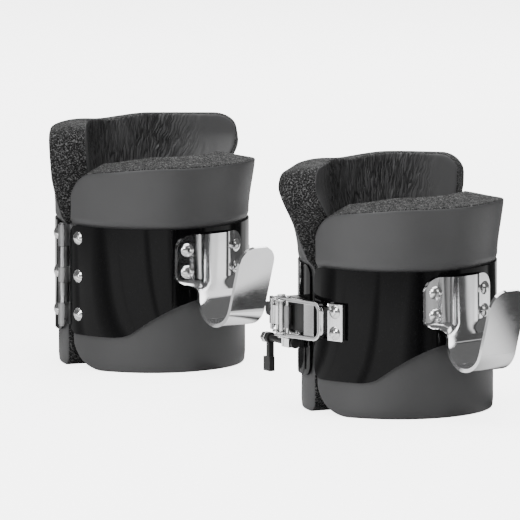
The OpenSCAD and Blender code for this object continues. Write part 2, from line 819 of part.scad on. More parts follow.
module lever_outline(inset) {
    half = lever_w / 2 - inset;
    front = lever_len - inset;
    difference() {
        translate([-5 + (inset > 0 ? -3 : 0), -half]) square([front + 5 + (inset > 0 ? 3 : 0), 2 * half]);
        for (side = [-1, 1])
            corner_cut(front, side * half, -1, -side, lever_corner_r - inset);
    }
}

module ratchet_lever() {
    lip = 3.2;
    plate_from = 27;
    plate_to = 38;
    color("silver")
        difference() {
            union() {
                at_lever() translate([0, 0, lever_low]) linear_extrude(lever_high - lever_low)
                    difference() {
                        lever_outline(0);
                        lever_outline(lever_wall);
                    }
                // rolled lip round the outside face
                at_lever() translate([0, 0, lever_high - 1.2]) linear_extrude(1.2)
                    difference() {
                        lever_outline(0);
                        lever_outline(lip);
                        translate([-20, -far / 2]) square([20 + 8, far]);
                    }
                // cross plate in the window
                at_lever() translate([plate_from, -lever_w / 2 + 1, 0])
                    cube([plate_to - plate_from, lever_w - 2, 1.5]);
            }
            on_arc(lever_l, lever_h) cylinder(h = far, r = lever_pin_r + play, center = true);
            at_drive_pawl() cylinder(h = far, r = small_pin_r + play, center = true);
        }
}

module at_drive_pawl() {
    on_arc(lever_l, lever_h)
        rotate([0, 0, -lever_tilt])
            translate([0, pawl_ahead, 0])
                children();
}

module drive_pawl_pin() {
    color("gainsboro")
        at_drive_pawl() {
            cylinder(h = lever_w + 0.2, r = small_pin_r, center = true);
            for (side = [-1, 1])
                translate([0, 0, side * (lever_w / 2 + 0.5)])
                    cylinder(h = 0.8, r = small_pin_r + 0.8, center = true);
        }
}

module drive_pawl() {
    half = strap_w / 2 - 2;
    color("dimgray")
        difference() {
            at_drive_pawl()
                slab(-half, half)
                    union() {
                        circle(3);
                        polygon([[-0.5, 2.9], [-3, 1], [-5.5, -4], [-4.3, -4.4], [1.5, -2.6]]);
                    }
            at_drive_pawl() cylinder(h = far, r = small_pin_r + play, center = true);
        }
}

module release_pawl() {
    half = buckle_w / 2 - 0.5;
    nose_half = release_spring_z - 1.1;
    color("silver")
        difference() {
            at_release() {
                slab(-nose_half, nose_half) union() {
                    circle(2.9);
                    polygon([[-1, 2.7], [-4.2, -0.6], [-3.9, -1.8], [0, -2.9]]);
                    // the web between the hub and the tab
                    polygon([[-1, -1.5], [2.8, 0], [4, -3], [3.2, -5.5], [1.2, -5]]);
                }
                // curved thumb tab behind the pin
                slab(-half, half) intersection() {
                    translate([-6, -2]) difference() {
                        circle(10);
                        circle(8.4);
                    }
                    polygon([[-6, -2], [12, -1.5], [12, -20], [-3, -14]]);
                }
            }
            at_release() cylinder(h = far, r = small_pin_r + play, center = true);
            at_release() translate([0, 0, release_spring_z - 1]) cylinder(h = far, r = 3.2);
        }
}

module safety_lever() {
    thick = 5;
    stem_w = 4;
    foot_w = 9.6;
    foot_h = 11.7;
    foot_shift = 1.7;
    color("#161616")
        difference() {
            union() {
                along_rod() translate([0, 0, safety_at - stem_w / 2]) cylinder(h = stem_w, r = rod_r + 1.8);
                on_arc(lever_l)
                    translate([rod_h - thick / 2, 0, rod_z - strap_z]) {
                        translate([0, -safety_at - stem_w / 2, -safety_len + 2])
                            cube([thick, stem_w, safety_len - 4]);
                        translate([0, -safety_at - foot_w / 2 - foot_shift, -safety_len])
                            cube([thick, foot_w, foot_h]);
                    }
            }
            along_rod() translate([0, 0, safety_at - stem_w]) cylinder(h = 2 * stem_w, r = rod_r + play);
        }
}

// ---------- the pair ----------

module place(side) {
    translate([row_x + (side == "right" ? pair_dx : 0), row_y - (side == "right" ? pair_dy : 0), 0])
        mirror([side == "left" ? 1 : 0, 0, 0])
            children();
}

for (side = ["left", "right"]) {
    place(side) front_shell();
    place(side) front_pad();
    place(side) hook();
    place(side) hook_rivets();
    place(side) front_hinge_leaf();
    place(side) front_hinge_rivets();
    place(side) hinge_pin();
    place(side) ladder_strap();
    place(side) strap_anchor_plate();
    place(side) strap_rivets();
    place(side) rear_shell();
    place(side) rear_pad();
    place(side) rear_hinge_leaf();
    place(side) rear_hinge_rivets();
    place(side) buckle_saddle();
    place(side) buckle_base();
    place(side) buckle_rivets();
    place(side) lever_pin();
    place(side) release_pin();
    place(side) safety_rod();
    place(side) safety_nut();
    place(side) lever_spring();
    place(side) release_spring();
    place(side) ratchet_lever();
    place(side) drive_pawl_pin();
    place(side) drive_pawl();
    place(side) release_pawl();
    place(side) safety_lever();
}
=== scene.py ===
"""A pair of inversion boots: padded ankle shells with a bar hook, a shell hinge and a ratchet buckle.

The metal and plastic pieces are the frame's own nodes with finished edges and materials. The foam pads
are modelled here, in the space that the frame keeps for them.
"""
import json
import math

import bmesh
import bpy
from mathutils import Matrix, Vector, noise


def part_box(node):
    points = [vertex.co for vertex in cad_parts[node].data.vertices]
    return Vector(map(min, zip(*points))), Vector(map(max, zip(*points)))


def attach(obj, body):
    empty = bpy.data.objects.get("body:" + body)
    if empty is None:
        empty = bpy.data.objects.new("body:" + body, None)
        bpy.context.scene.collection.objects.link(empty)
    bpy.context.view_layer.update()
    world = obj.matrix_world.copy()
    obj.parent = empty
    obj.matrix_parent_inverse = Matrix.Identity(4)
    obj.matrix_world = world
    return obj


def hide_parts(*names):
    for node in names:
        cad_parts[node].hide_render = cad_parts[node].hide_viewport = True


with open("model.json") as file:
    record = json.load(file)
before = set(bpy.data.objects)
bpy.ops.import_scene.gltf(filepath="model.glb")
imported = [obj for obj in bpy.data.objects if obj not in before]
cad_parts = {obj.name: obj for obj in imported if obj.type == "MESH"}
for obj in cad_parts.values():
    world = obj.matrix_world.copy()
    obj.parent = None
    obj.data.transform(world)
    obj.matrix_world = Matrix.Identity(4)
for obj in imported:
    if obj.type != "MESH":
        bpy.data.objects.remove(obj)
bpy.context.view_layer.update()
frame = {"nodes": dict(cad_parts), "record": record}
NODES = frame["nodes"]

MM = 0.001
SIDES = ("left", "right")

# Directions about a boot's axis, in degrees from the hinge side's +X towards the rear
HOOK_DIR = -90
FRONT_PAD_ENDS = (HOOK_DIR - 96, HOOK_DIR + 96)
REAR_PAD_ENDS = (HOOK_DIR + 101, HOOK_DIR + 262)


# ---------- the boots' places, read from the frame ----------

class Boot:
    """Where one boot stands, and which way round it is."""

    def __init__(self, side):
        low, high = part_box(side + "_front_shell")
        self.side = side
        self.turn = 1 if side == "right" else -1
        self.radius = (high[0] - low[0]) / 2
        self.x = (high[0] + low[0]) / 2
        self.y = low[1] + self.radius
        self.shell_low = low[2]
        self.shell_top = high[2]

    def way(self, direction):
        """The level unit vector outwards at a direction in degrees."""
        angle = math.radians(direction)
        return Vector((self.turn * math.cos(angle), math.sin(angle), 0))

    def point(self, direction, radius, z):
        """A point at a direction in degrees, a radius and a height."""
        return Vector((self.x, self.y, z)) + self.way(direction) * radius


BOOTS = {side: Boot(side) for side in SIDES}


# ---------- small helpers ----------

def smooth(t):
    """A smooth step from 0 to 1."""
    t = min(1.0, max(0.0, t))
    return t * t * (3 - 2 * t)


def mix(a, b, t):
    """From a to b as t goes from 0 to 1."""
    return a + (b - a) * t


def through(stops, at):
    """A smooth curve through (place, value) stops."""
    for (p0, v0), (p1, v1) in zip(stops, stops[1:]):
        if at <= p1:
            return mix(v0, v1, smooth((at - p0) / (p1 - p0)))
    return stops[-1][1]


# ---------- shader groups ----------

class Tree:
    """A node tree with short ways to add and join nodes."""

    def __init__(self, tree):
        self.tree = tree

    def node(self, kind, inputs=None, **settings):
        """A new node with its settings, and its inputs set or joined by name or number."""
        made = self.tree.nodes.new(kind)
        for name, value in settings.items():
            setattr(made, name, value)
        for key, value in (inputs or {}).items():
            if isinstance(value, bpy.types.NodeSocket):
                self.tree.links.new(value, made.inputs[key])
            else:
                made.inputs[key].default_value = value
        return made

    def maths(self, operation, a, b=None, clamp=False):
        """One Math node's result."""
        inputs = {0: a} if b is None else {0: a, 1: b}
        return self.node("ShaderNodeMath", inputs, operation=operation, use_clamp=clamp).outputs[0]

    def ramp(self, value, low, high, to_low=0.0, to_high=1.0):
        """value from low..high to to_low..to_high, held at the ends."""
        made = self.node("ShaderNodeMapRange", {"Value": value, "From Min": low, "From Max": high,
                                                "To Min": to_low, "To Max": to_high})
        return made.outputs["Result"]

    def stretched(self, scale):
        """Object coordinates, stretched."""
        place = self.node("ShaderNodeTexCoord").outputs["Object"]
        return self.node("ShaderNodeMapping", {"Vector": place, "Scale": scale}).outputs["Vector"]

    def noise(self, scale, detail=2.0, vector=None, rough=0.5):
        """A noise texture's value."""
        inputs = {"Scale": scale, "Detail": detail, "Roughness": rough}
        if vector is not None:
            inputs["Vector"] = vector
        else:
            inputs["Vector"] = self.node("ShaderNodeTexCoord").outputs["Object"]
        return self.node("ShaderNodeTexNoise", inputs).outputs["Fac"]


def shader_group(name, inputs, outputs):
    """An empty node group with named number inputs (with defaults) and named number outputs."""
    made = bpy.data.node_groups.new(name, "ShaderNodeTree")
    for socket, value in inputs.items():
        made.interface.new_socket(socket, in_out="INPUT", socket_type="NodeSocketFloat").default_value = value
    for socket in outputs:
        made.interface.new_socket(socket, in_out="OUTPUT", socket_type="NodeSocketFloat")
    tree = Tree(made)
    return made, tree, tree.node("NodeGroupInput").outputs, tree.node("NodeGroupOutput").inputs


def fine_marks_group():
    """Faint smears and hairlines that vary a polished surface's roughness."""
    made, tree, given, out = shader_group("Fine marks", {"Low": 0.1, "High": 0.2, "Smear Scale": 25.0},
                                          ["Roughness", "Height"])
    smears = tree.noise(given["Smear Scale"], 4.0)
    hairs = tree.noise(900.0, 2.0, tree.stretched((0.25, 0.25, 1.0)))
    mixed = tree.maths("ADD", tree.maths("MULTIPLY", smears, 0.75), tree.maths("MULTIPLY", hairs, 0.25))
    rough = tree.node("ShaderNodeMapRange", {"Value": mixed, "From Min": 0.35, "From Max": 0.65,
                                             "To Min": given["Low"], "To Max": given["High"]})
    tree.tree.links.new(rough.outputs["Result"], out["Roughness"])
    tree.tree.links.new(hairs, out["Height"])
    return made


def foam_pores_group():
    """Raw cut foam: open cells as pits between lighter walls, with the pits darkened as painted shade."""
    made, tree, given, out = shader_group("Foam pores", {"Cell Scale": 700.0}, ["Walls", "Patches", "Height"])
    place = tree.node("ShaderNodeTexCoord").outputs["Object"]
    cells = tree.node("ShaderNodeTexVoronoi", {"Vector": place, "Scale": given["Cell Scale"],
                                               "Randomness": 1.0}, feature="F1").outputs["Distance"]
    grains = tree.noise(1500.0, 2.0, place)
    uneven = tree.ramp(grains, 0.35, 0.75, -0.4, 0.4)
    walls = tree.maths("ADD", tree.ramp(cells, 0.4, 0.9), uneven, clamp=True)
    patches = tree.noise(260.0, 3.0, place)
    tree.tree.links.new(walls, out["Walls"])
    tree.tree.links.new(tree.ramp(patches, 0.3, 0.7), out["Patches"])
    tree.tree.links.new(walls, out["Height"])
    return made


def foam_skin_group():
    """Moulded foam skin: a very fine grain over soft unevenness."""
    made, tree, _, out = shader_group("Foam skin grain", {}, ["Grain", "Clouds", "Height"])
    place = tree.node("ShaderNodeTexCoord").outputs["Object"]
    grain = tree.noise(2200.0, 3.0, place)
    clouds = tree.noise(18.0, 3.0, place)
    dimples = tree.noise(120.0, 2.0, place)
    height = tree.maths("ADD", tree.maths("MULTIPLY", grain, 0.3), tree.maths("MULTIPLY", dimples, 0.7))
    tree.tree.links.new(grain, out["Grain"])
    tree.tree.links.new(clouds, out["Clouds"])
    tree.tree.links.new(height, out["Height"])
    return made


def satin_grain_group():
    """Fine upright grain of rolled and plated sheet."""
    made, tree, given, out = shader_group("Satin grain", {"Low": 0.25, "High": 0.45},
                                          ["Roughness", "Height", "Tone"])
    streaks = tree.noise(500.0, 3.0, tree.stretched((1.0, 1.0, 0.06)))
    clouds = tree.noise(90.0, 4.0)
    mixed = tree.maths("ADD", tree.maths("MULTIPLY", streaks, 0.5), tree.maths("MULTIPLY", clouds, 0.5))
    rough = tree.node("ShaderNodeMapRange", {"Value": mixed, "From Min": 0.35, "From Max": 0.65,
                                             "To Min": given["Low"], "To Max": given["High"]})
    tree.tree.links.new(rough.outputs["Result"], out["Roughness"])
    tree.tree.links.new(streaks, out["Height"])
    tree.tree.links.new(tree.ramp(mixed, 0.35, 0.65), out["Tone"])
    return made


def orange_peel_group():
    """The slight waviness of sprayed enamel, with a little dust."""
    made, tree, _, out = shader_group("Sprayed enamel", {}, ["Height", "Dust"])
    place = tree.node("ShaderNodeTexCoord").outputs["Object"]
    waves = tree.noise(160.0, 1.0, place)
    slow = tree.noise(22.0, 1.0, place)
    height = tree.maths("ADD", tree.maths("MULTIPLY", waves, 0.25), tree.maths("MULTIPLY", slow, 0.75))
    specks = tree.noise(700.0, 2.0, place)
    tree.tree.links.new(height, out["Height"])
    tree.tree.links.new(tree.ramp(specks, 0.55, 0.8), out["Dust"])
    return made


def creases_group():
    """Fine upright creases of a skin that is bent inwards, from its run and height in metres, with a mask
    that darkens their grooves as painted shade.
    """
    made, tree, given, out = shader_group("Skin creases", {"Middle": 0.09}, ["Ridges", "Height"])
    run = tree.node("ShaderNodeUVMap", uv_map="run").outputs["UV"]
    parts = tree.node("ShaderNodeSeparateXYZ", {"Vector": run}).outputs
    wander = tree.maths("MULTIPLY", tree.noise(120.0, 3.0, run), 0.0045)
    lean = tree.maths("MULTIPLY", tree.maths("SUBTRACT", parts["X"], given["Middle"]), 3.0)
    leaning = tree.maths("MULTIPLY", tree.maths("SUBTRACT", parts["Y"], 0.16), lean)
    along = tree.maths("SUBTRACT", tree.maths("ADD", parts["X"], wander), leaning)
    squeezed = tree.maths("MULTIPLY", parts["Y"], 0.09)
    place = tree.node("ShaderNodeCombineXYZ", {"X": along, "Y": squeezed}).outputs[0]
    folds = tree.node("ShaderNodeTexVoronoi", {"Vector": place, "Scale": 520.0, "Randomness": 1.0},
                      feature="DISTANCE_TO_EDGE").outputs["Distance"]
    fine = tree.noise(900.0, 2.0, place)
    rough = tree.maths("ADD", folds, tree.ramp(fine, 0.3, 0.7, -0.05, 0.05))
    ridges = tree.ramp(rough, 0.0, 0.16)
    patches = tree.ramp(tree.noise(30.0, 2.0, run), 0.3, 0.5, 0.25, 1.0)
    from_middle = tree.maths("ABSOLUTE", tree.maths("SUBTRACT", parts["X"], given["Middle"]))
    where = tree.maths("MULTIPLY", patches, tree.ramp(from_middle, 0.075, 0.05))
    height = tree.maths("SUBTRACT", 1.0, tree.maths("MULTIPLY", tree.maths("SUBTRACT", 1.0, ridges), where))
    tree.tree.links.new(height, out["Ridges"])
    tree.tree.links.new(height, out["Height"])
    return made


GROUPS = {
    "creases": creases_group(),
    "marks": fine_marks_group(),
    "pores": foam_pores_group(),
    "skin": foam_skin_group(),
    "satin": satin_grain_group(),
    "enamel": orange_peel_group(),
}


# ---------- materials ----------

class Finish:
    """A material with its Principled shader and a way to use the shared groups."""

    def __init__(self, name, colour, metallic=0.0, roughness=0.5):
        self.material = bpy.data.materials.new(name)
        self.material.use_nodes = True
        self.tree = Tree(self.material.node_tree)
        self.shader = self.material.node_tree.nodes["Principled BSDF"]
        self.set("Base Color", (*colour, 1.0))
        self.set("Metallic", metallic)
        self.set("Roughness", roughness)

    def set(self, socket, value):
        """A constant on one of the shader's own sockets."""
        self.shader.inputs[socket].default_value = value

    def join(self, value, socket):
        """A node's output into one of the shader's sockets."""
        self.material.node_tree.links.new(value, self.shader.inputs[socket])

    def use(self, group, **inputs):
        """One of the shared groups, with some of its inputs set."""
        made = self.tree.node("ShaderNodeGroup", node_tree=GROUPS[group])
        for name, value in inputs.items():
            made.inputs[name.replace("_", " ")].default_value = value
        return made.outputs

    def bump(self, height, depth, strength=1.0):
        """Bump of a given depth, in metres, on the shader's normal."""
        made = self.tree.node("ShaderNodeBump", {"Height": height, "Distance": depth, "Strength": strength})
        self.join(made.outputs["Normal"], "Normal")

    def between(self, value, first, second):
        """A colour that goes from the first to the second as value goes from 0 to 1."""
        made = self.tree.node("ShaderNodeMix", {"Factor": value}, data_type="RGBA")
        made.inputs[6].default_value = (*first, 1.0)
        made.inputs[7].default_value = (*second, 1.0)
        return made.outputs[2]

    def tones(self, value, dark, light):
        """Base colour from dark to light as value goes from 0 to 1."""
        self.join(self.between(value, dark, light), "Base Color")


def gloss_enamel():
    """Deep gloss black enamel on the shells."""
    finish = Finish("gloss black enamel", (0.002, 0.002, 0.0022), roughness=0.07)
    enamel = finish.use("enamel")
    finish.set("Specular IOR Level", 0.14)
    finish.tones(enamel["Dust"], (0.002, 0.002, 0.0022), (0.005, 0.005, 0.0055))
    finish.bump(enamel["Height"], 0.1 * MM, 0.1)
    return finish.material


def polished_plate():
    """Polished chrome plate on the hooks and buckles."""
    finish = Finish("polished chrome plate", (0.86, 0.86, 0.87), metallic=1.0, roughness=0.1)
    marks = finish.use("marks", Low=0.06, High=0.16, Smear_Scale=40.0)
    finish.join(marks["Roughness"], "Roughness")
    finish.tones(marks["Height"], (0.82, 0.82, 0.83), (0.9, 0.9, 0.905))
    finish.bump(marks["Height"], 0.02 * MM, 0.2)
    return finish.material


def bright_rivet():
    """Bright steel of the domed rivets and the pins."""
    finish = Finish("bright rivet steel", (0.8, 0.8, 0.8), metallic=1.0, roughness=0.16)
    marks = finish.use("marks", Low=0.1, High=0.28, Smear_Scale=220.0)
    finish.join(marks["Roughness"], "Roughness")
    finish.tones(marks["Height"], (0.74, 0.74, 0.74), (0.86, 0.86, 0.86))
    finish.bump(marks["Height"], 0.05 * MM, 0.35)
    return finish.material


def zinc_plate():
    """Dull zinc plate on the hinge."""
    finish = Finish("zinc plated steel", (0.34, 0.34, 0.345), metallic=1.0, roughness=0.35)
    satin = finish.use("satin", Low=0.26, High=0.46)
    finish.join(satin["Roughness"], "Roughness")
    finish.tones(satin["Tone"], (0.26, 0.26, 0.265), (0.42, 0.42, 0.42))
    finish.bump(satin["Height"], 0.04 * MM, 0.4)
    return finish.material


def spring_wire():
    """Bright drawn wire."""
    finish = Finish("drawn spring wire", (0.6, 0.6, 0.6), metallic=1.0, roughness=0.25)
    satin = finish.use("satin", Low=0.18, High=0.34)
    finish.join(satin["Roughness"], "Roughness")
    finish.tones(satin["Tone"], (0.5, 0.5, 0.5), (0.7, 0.7, 0.7))
    return finish.material


def strap_plastic():
    """Moulded black plastic of the strap and its packer."""
    finish = Finish("moulded black plastic", (0.012, 0.012, 0.012), roughness=0.45)
    skin = finish.use("skin")
    finish.tones(skin["Clouds"], (0.009, 0.009, 0.009), (0.018, 0.018, 0.018))
    finish.join(finish.tree.ramp(skin["Grain"], 0.3, 0.7, 0.36, 0.56), "Roughness")
    finish.bump(skin["Height"], 0.08 * MM, 0.35)
    return finish.material


def black_oxide():
    """Satin black steel of the safety catch."""
    finish = Finish("satin black steel", (0.012, 0.012, 0.012), roughness=0.4)
    satin = finish.use("satin", Low=0.34, High=0.52)
    finish.join(satin["Roughness"], "Roughness")
    finish.tones(satin["Tone"], (0.008, 0.008, 0.008), (0.02, 0.02, 0.02))
    finish.bump(satin["Height"], 0.05 * MM, 0.3)
    return finish.material


def foam_skin():
    """The smooth satin skin of the foam."""
    finish = Finish("satin foam skin", (0.045, 0.045, 0.046), roughness=0.5)
    skin = finish.use("skin")
    finish.tones(skin["Clouds"], (0.038, 0.038, 0.039), (0.052, 0.052, 0.053))
    finish.join(finish.tree.ramp(skin["Grain"], 0.3, 0.7, 0.42, 0.56), "Roughness")
    finish.bump(skin["Height"], 0.2 * MM, 0.35)
    return finish.material


def creased_skin():
    """The inner skin of a rear pad, creased by bending, with painted shade darkening the crease grooves."""
    finish = Finish("creased foam skin", (0.045, 0.045, 0.046), roughness=0.5)
    skin = finish.use("skin")
    creases = finish.use("creases")
    # painted shade: the crease grooves are darkened in the colour
    finish.tones(creases["Ridges"], (0.01, 0.01, 0.0102), (0.05, 0.05, 0.051))
    finish.join(finish.tree.ramp(skin["Grain"], 0.3, 0.7, 0.42, 0.56), "Roughness")
    finish.bump(creases["Height"], 1.2 * MM, 0.8)
    return finish.material


def foam_cut():
    """The raw cut faces of the foam, black with lighter cell walls and painted shade in the pits between
    them.
    """
    finish = Finish("raw cut foam", (0.02, 0.02, 0.02), roughness=0.85)
    pores = finish.use("pores", Cell_Scale=850.0)
    finish.set("Specular IOR Level", 0.2)
    # painted shade: the pits between the cell walls are darkened in the colour
    finish.tones(pores["Walls"], (0.002, 0.002, 0.002), (0.12, 0.12, 0.12))
    finish.join(finish.tree.ramp(pores["Patches"], 0.0, 1.0, 0.6, 0.95), "Roughness")
    finish.bump(pores["Height"], 0.6 * MM, 0.9)
    return finish.material


FINISHES = {
    "shell_paint": gloss_enamel(),
    "hook_chrome": polished_plate(),
    "buckle_chrome": polished_plate(),
    "rivet_steel": bright_rivet(),
    "hinge_zinc": zinc_plate(),
    "spring_steel": spring_wire(),
    "strap_plastic": strap_plastic(),
    "black_steel": black_oxide(),
}
FOAM_SKIN = foam_skin()
FOAM_CUT = foam_cut()
FOAM_CREASED = creased_skin()


# ---------- the frame's own pieces ----------

# Widths of the small rounded edges, by a node's name without its side
EDGE_WIDTHS = {
    "front_shell": 0.5, "rear_shell": 0.5, "hook": 0.6, "strap_anchor_plate": 0.4, "ratchet_lever": 0.4,
    "buckle_base": 0.3, "release_pawl": 0.3, "drive_pawl": 0.3, "safety_lever": 0.35, "safety_nut": 0.3,
    "front_hinge_leaf": 0.2, "rear_hinge_leaf": 0.2, "ladder_strap": 0.25, "buckle_saddle": 0.3,
    "lever_pin": 0.25, "drive_pawl_pin": 0.2, "safety_rod": 0.25, "hinge_pin": 0.2,
}


def round_edges(piece, width):
    """A small rounded edge on a hard piece, so that it catches the light."""
    weld = piece.modifiers.new("weld", "WELD")
    weld.merge_threshold = 0.002 * MM
    bevel = piece.modifiers.new("edges", "BEVEL")
    bevel.width = width * MM
    bevel.segments = 2
    bevel.limit_method = "ANGLE"
    bevel.angle_limit = math.radians(40)
    normals = piece.modifiers.new("normals", "WEIGHTED_NORMAL")
    normals.weight = 100


def finish_nodes():
    """Gives every node of the frame its material, and the larger ones rounded edges."""
    slots = {entry["node"]: entry["material_slot"] for entry in frame["record"]["subparts"]}
    for name, piece in NODES.items():
        slot = slots[name]
        if slot not in FINISHES:
            continue
        piece.data.materials.clear()
        piece.data.materials.append(FINISHES[slot])
        width = EDGE_WIDTHS.get(name.split("_", 1)[1])
        if width:
            round_edges(piece, width)


# ---------- the foam pads ----------

FOAM_THICKNESS = 28 * MM
CUT_EDGE = 1.8 * MM                 # radius of the small round edge along every cut
STEP_ALONG = 1.3 * MM               # grid steps of a pad's mesh
STEP_ACROSS = 2.8 * MM

# A rear pad's two free ends: the length that can leave the shell's curve, how much further it reaches
# once free, and the height above the shell over which it straightens
HINGE_END = {"free": 34 * MM, "reach": 6 * MM, "rise": 40 * MM}
BUCKLE_END = {"free": 50 * MM, "reach": 20 * MM, "rise": 66 * MM}
NEARLY_STRAIGHT = 0.97
GRIPPED_BELOW = 4 * MM              # the ends start to straighten this far below the shell's top edge


class Pad:
    """One foam pad: a bent block. Above the shell its free ends spring back outwards."""

    def __init__(self, boot, part):
        self.boot = boot
        self.node = f"{boot.side}_{part}_pad"
        self.front = part == "front"
        self.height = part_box(self.node)[1][2]
        self.ends = FRONT_PAD_ENDS if self.front else REAR_PAD_ENDS
        self.core = boot.radius - FOAM_THICKNESS / 2
        self.length = math.radians(self.ends[1] - self.ends[0]) * self.core
        # how far the top face falls to the outside, and how steeply
        self.outer_drop, self.drop_power = (6 * MM, 1) if self.front else (5 * MM, 3)
        # corner radii at the outer skin and at the inner skin
        self.top_corner = (26 * MM, 15 * MM) if self.front else (14 * MM, 14 * MM)
        self.low_corner = (30 * MM, 30 * MM) if self.front else (9 * MM, 9 * MM)
        self.seed = Vector((7.0 * len(self.node), 3.0 if self.front else 11.0, boot.turn * 5.0))

    def upness(self, z):
        """0 up to the shell's top edge, and 1 at the pad's top."""
        return max(0.0, (z - self.boot.shell_top) / (self.height - self.boot.shell_top))

    def outer(self, near, z):
        """Radius of the outer skin at a distance from the nearer end and a height."""
        b = self.boot
        flare = (5.5 if self.front else 4.0) * MM
        if self.front:
            flare *= smooth(near / (45 * MM))
        low = b.shell_low
        return through([(0, b.radius - 3.4 * MM), (8 * MM, b.radius - 2.8 * MM),
                        (low - 3 * MM, b.radius - 2.8 * MM),
                        (low + 25 * MM, b.radius - 4 * MM), (b.shell_top - 2 * MM, b.radius - 3 * MM),
                        (b.shell_top + 5 * MM, b.radius - 0.3 * MM), (self.height, b.radius + flare)], z)

    def inner(self, z):
        """Radius of the inner skin at a height."""
        b = self.boot
        return through([(0, b.radius - 30 * MM), (b.shell_low, b.radius - 32 * MM),
                        (b.shell_top, b.radius - 31 * MM), (self.height, b.radius - 27 * MM)], z)

    def corner_drop(self, from_end, radii, inward):
        """How far the top or bottom edge falls back near an end, for a rounded corner."""
        radius = mix(*radii, inward)
        if from_end >= radius:
            return 0.0
        return radius - math.sqrt(max(0.0, radius * radius - (radius - from_end) ** 2))

    def edge_drop(self, a, near):
        """How far the top edge dips: at a front pad's ends, and in the middle of a rear pad."""
        if self.front:
            return 8 * MM * smooth(1 - near / (75 * MM))
        from_middle = abs(a - self.length / 2)
        return 3 * MM * smooth(1 - from_middle / (40 * MM))

    def by_hinge(self, a):
        """Whether a place is on the hinge's half of the pad."""
        return a < self.length / 2

    def place(self, a, b, c):
        """A point of the pad: a along its length, b up its height and c in from its outer skin."""
        sizes = (self.length, self.height, FOAM_THICKNESS)
        inside = Vector([min(max(at, CUT_EDGE), size - CUT_EDGE) for at, size in zip((a, b, c), sizes)])
        off = Vector((a, b, c)) - inside
        if off.length > 0:
            a, b, c = inside + off.normalized() * CUT_EDGE
        near = min(a, self.length - a)
        inward = c / FOAM_THICKNESS
        top = self.height - self.corner_drop(near, self.top_corner, inward)
        top -= self.edge_drop(a, near) + self.outer_drop * (1 - inward) ** self.drop_power
        bottom = self.corner_drop(near, self.low_corner, inward)
        z = mix(bottom, top, b / self.height)
        radius = mix(self.outer(near, z), self.inner(z), inward) + self.unevenness(a, z, inward)
        if self.front:
            return self.boot.point(mix(*self.ends, a / self.length), radius, z)
        return self.sprung(a, near, radius, z)

    def sprung(self, a, near, radius, z):
        """A point of the rear pad: above the shell its free ends spring nearly straight and stand out."""
        if self.by_hinge(a):
            spring, end, towards_end = HINGE_END, self.ends[0], -1
        else:
            spring, end, towards_end = BUCKLE_END, self.ends[1], 1
        freed = min(1.0, max(0.0, (z - self.boot.shell_top + GRIPPED_BELOW) / spring["rise"]))
        straight = NEARLY_STRAIGHT * mix(freed, freed * (2 - freed), 0.5)
        longer = 1 + spring["reach"] / spring["free"] * smooth((self.upness(z) - 0.2) / 0.5)
        leaves = end - towards_end * math.degrees(spring["free"] / self.core)
        along = (spring["free"] - near) / self.core
        if along <= 0:
            return self.boot.point(leaves + towards_end * math.degrees(along), radius, z)
        # past that place the pad bends about a centre further off, and so less
        bend = self.core / (1 - straight)
        direction = leaves + towards_end * math.degrees(along * longer * (1 - straight))
        centre = self.boot.point(leaves, self.core - bend, z)
        return centre + self.boot.way(direction) * (bend + radius - self.core)

    def unevenness(self, a, z, inward):
        """Soft waves of the foam, and upright creases pressed into its inner skin."""
        spot = self.seed + Vector((a * 26, z * 18, inward * 3))
        soft = noise.noise(spot) * 0.7 * MM
        if self.front or inward < 0.7:
            return soft
        along = a / MM
        up = z / MM
        wander = noise.noise(self.seed + Vector((along * 0.04, up * 0.05, 4.0))) * 5
        ridge = abs(noise.noise(self.seed + Vector(((along + wander + up * 0.15) * 0.16, up * 0.010, 9.0))))
        weight = smooth((self.length / 2 - abs(a - self.length / 2)) / (50 * MM))
        groove = max(0.0, 1 - ridge * 5.0)
        return soft + 1.4 * MM * groove * weight * smooth((inward - 0.7) / 0.3)

    def build(self):
        """The pad's mesh: the six faces of the block as grids, bent into place."""
        steps_a = graded(self.length, STEP_ALONG)
        steps_b = graded(self.height, STEP_ACROSS)
        steps_c = graded(FOAM_THICKNESS, STEP_ACROSS)
        mesh = bmesh.new()
        run = mesh.loops.layers.uv.new("run")
        spots = {}

        def corner(a, b, c):
            key = (round(a, 7), round(b, 7), round(c, 7))
            if key not in spots:
                spots[key] = mesh.verts.new(self.place(a, b, c))
            return spots[key]

        def grid(first, second, spot, material):
            for p0, p1 in zip(first, first[1:]):
                for q0, q1 in zip(second, second[1:]):
                    places = [spot(p0, q0), spot(p1, q0), spot(p1, q1), spot(p0, q1)]
                    face = mesh.faces.new([corner(*place) for place in places])
                    face.material_index = material
                    face.smooth = True
                    for loop, place in zip(face.loops, places):
                        loop[run].uv = (place[0], place[1])

        for c, skin in ((0.0, 0), (FOAM_THICKNESS, 2)):
            grid(steps_a, steps_b, lambda p, q, c=c: (p, q, c), skin)
        for b in (0.0, self.height):
            grid(steps_a, steps_c, lambda p, q, b=b: (p, b, q), 1)
        for a in (0.0, self.length):
            grid(steps_b, steps_c, lambda p, q, a=a: (a, p, q), 1)
        bmesh.ops.recalc_face_normals(mesh, faces=mesh.faces)
        data = bpy.data.meshes.new(self.node + "_foam")
        mesh.to_mesh(data)
        mesh.free()
        piece = bpy.data.objects.new(self.node + "_foam", data)
        bpy.context.scene.collection.objects.link(piece)
        data.materials.append(FOAM_SKIN)
        data.materials.append(FOAM_CUT)
        data.materials.append(FOAM_SKIN if self.front else FOAM_CREASED)
        return piece


def graded(length, step):
    """Places from 0 to length: close ones inside each rounded edge, and even ones between."""
    inner = length - 2 * CUT_EDGE
    count = max(2, round(inner / step))
    middle = [CUT_EDGE + inner * i / count for i in range(count + 1)]
    close = [0.0, CUT_EDGE * 0.3, CUT_EDGE * 0.65]
    return close + middle + [length - place for place in reversed(close)]


